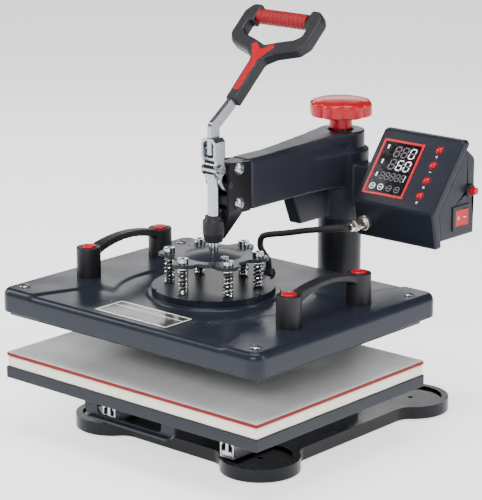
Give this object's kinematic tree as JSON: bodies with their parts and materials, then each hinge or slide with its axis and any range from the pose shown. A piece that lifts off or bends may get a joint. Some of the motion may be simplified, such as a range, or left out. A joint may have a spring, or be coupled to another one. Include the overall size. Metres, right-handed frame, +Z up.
{
  "type": "swing-away heat press",
  "caption": "Swing-away heat press: lever-driven heated upper platen on a pivoting arm over a slide-out padded lower platen, with a control box.",
  "frame": {"origin": "on the bench, below the middle of the whole outline; the plunger and the heated plate are centred at y = -0.060 m and the column at y = 0.166 m", "axes": "+Z up; -Y towards the operator; +X to the operator's right, the side of the control box"},
  "size_m": [0.388, 0.42, 0.482],
  "materials": {
    "cast_paint": "satin powder coat over casting",
    "foot_rubber": "matt",
    "column_paint": "satin",
    "zinc_steel": "bright zinc plated",
    "slide_steel": "zinc plated",
    "tray_paint": "satin powder coat",
    "foam": "open sponge, matt",
    "red_silicone": "matt",
    "woven_sheet": "fine woven",
    "bronze": "machined",
    "red_plastic": "semi-gloss",
    "arm_paint": "satin",
    "black_paint": "satin",
    "black_plastic": "fine texture",
    "dark_pin": "blackened",
    "box_plastic": "satin",
    "display_glass": "polished",
    "red_print": "printed film",
    "board": "solder mask",
    "nickel": "knurled nickel",
    "lead_rubber": "braided sleeve",
    "chromed_steel": "polished",
    "plate_paint": "satin",
    "red_rubber": "ribbed",
    "plate_paint_dark": "satin",
    "spring_steel": "plated wire",
    "cover_paint": "satin powder coat",
    "board_fibre": "pressed fibre",
    "black_coated_aluminium": "non-stick coating",
    "label_film": "printed film"
  },
  "bodies": {
    "base": {"base_frame": "cast_paint", "rubber_feet": "foot_rubber", "column_tube": "column_paint", "base_bolts": "zinc_steel", "slide_rail_left": "slide_steel", "slide_rail_right": "slide_steel"},
    "drawer": {"slide_runner_left": "slide_steel", "slide_runner_right": "slide_steel", "lower_tray": "tray_paint", "pull_handle": "tray_paint", "foam_pad": "foam", "silicone_mat": "red_silicone", "pad_top_sheet": "woven_sheet"},
    "swivel": {"thrust_washer": "bronze"},
    "knob": {"pressure_screw": "zinc_steel", "pressure_knob": "red_plastic", "screw_retaining_nut": "zinc_steel"},
    "arm": {"swing_arm": "arm_paint", "arm_nut": "bronze", "head_bracket": "black_paint", "plunger_guide": "black_plastic", "arm_bolts": "zinc_steel", "anchor_pin": "dark_pin", "control_box_front": "box_plastic", "control_box_rear": "box_plastic", "display_window": "display_glass", "display_frame": "red_print", "control_board": "board", "rocker_frame": "black_plastic", "fuse_holder": "black_plastic", "mains_inlet": "black_plastic", "lead_connector": "nickel", "heater_lead": "lead_rubber"},
    "plus_button": {"plus_button": "red_plastic"},
    "minus_button": {"minus_button": "red_plastic"},
    "setup_button": {"setup_button": "red_plastic"},
    "mode_button": {"mode_button": "red_plastic"},
    "rocker": {"rocker_switch": "red_plastic"},
    "plunger": {"plunger_shaft": "chromed_steel", "pressure_plate": "plate_paint", "plate_nut": "zinc_steel"},
    "lever": {"lever_fork": "zinc_steel", "lever_bar": "zinc_steel", "fork_pin": "zinc_steel", "fulcrum_pin": "chromed_steel", "grip_frame": "black_plastic", "grip_sleeve": "red_rubber", "grip_inlay": "red_plastic"},
    "platen": {"platen_disc": "plate_paint_dark", "shoulder_bolts": "chromed_steel", "springs": "spring_steel", "upper_cover": "cover_paint", "cover_screws": "zinc_steel", "insulation_board": "board_fibre", "heating_plate": "black_coated_aluminium", "carry_handle_left": "black_plastic", "carry_handle_right": "black_plastic", "handle_caps": "red_plastic", "front_label": "label_film", "cable_gland": "black_plastic"}
  },
  "joints": [
    {"name": "drawer_slide", "type": "slide", "parent": "base", "child": "drawer", "axis": [0, -1, 0], "range_m": [0, 0.16]},
    {"name": "arm_swing", "type": "hinge", "parent": "base", "child": "swivel", "pos_m": [0, 0.166, 0.296], "axis": [0, 0, 1], "continuous": true},
    {"name": "knob_turn", "type": "hinge", "parent": "swivel", "child": "knob", "pos_m": [0, 0.166, 0.35], "axis": [0, 0, 1], "range_deg": [-864, 576]},
    {"name": "arm_lift", "type": "slide", "parent": "swivel", "child": "arm", "axis": [0, 0, 1], "range_m": [-0.004, 0.006]},
    {"name": "plunger_slide", "type": "slide", "parent": "arm", "child": "plunger", "axis": [0, 0, -1], "range_m": [0, 0.04]},
    {"name": "lever_turn", "type": "hinge", "parent": "plunger", "child": "lever", "pos_m": [0, -0.06, 0.316], "axis": [1, 0, 0], "range_deg": [0, 115]},
    {"name": "platen_float", "type": "slide", "parent": "plunger", "child": "platen", "axis": [0, 0, 1], "range_m": [0, 0.005], "stiffness_N_per_m": 30000, "springref_m": -0.001, "deforming": ["springs"]},
    {"name": "plus_button_press", "type": "slide", "parent": "arm", "child": "plus_button", "axis": [0, 0.788, -0.6157], "range_m": [0, 0.0012], "stiffness_N_per_m": 400},
    {"name": "minus_button_press", "type": "slide", "parent": "arm", "child": "minus_button", "axis": [0, 0.788, -0.6157], "range_m": [0, 0.0012], "stiffness_N_per_m": 400},
    {"name": "setup_button_press", "type": "slide", "parent": "arm", "child": "setup_button", "axis": [0, 0.788, -0.6157], "range_m": [0, 0.0012], "stiffness_N_per_m": 400},
    {"name": "mode_button_press", "type": "slide", "parent": "arm", "child": "mode_button", "axis": [0, 0.788, -0.6157], "range_m": [0, 0.0012], "stiffness_N_per_m": 400},
    {"name": "rocker_tilt", "type": "hinge", "parent": "arm", "child": "rocker", "pos_m": [0.1755, 0.1675, 0.246], "axis": [0, 0, 1], "range_deg": [0, 10]}
  ],
  "couplings": [
    {"joint": "knob_turn", "follows": "arm_lift", "rad_per_m": -2513.3},
    {"joint": "lever_turn", "follows": "plunger_slide", "rad_per_m": 50.178}
  ]
}
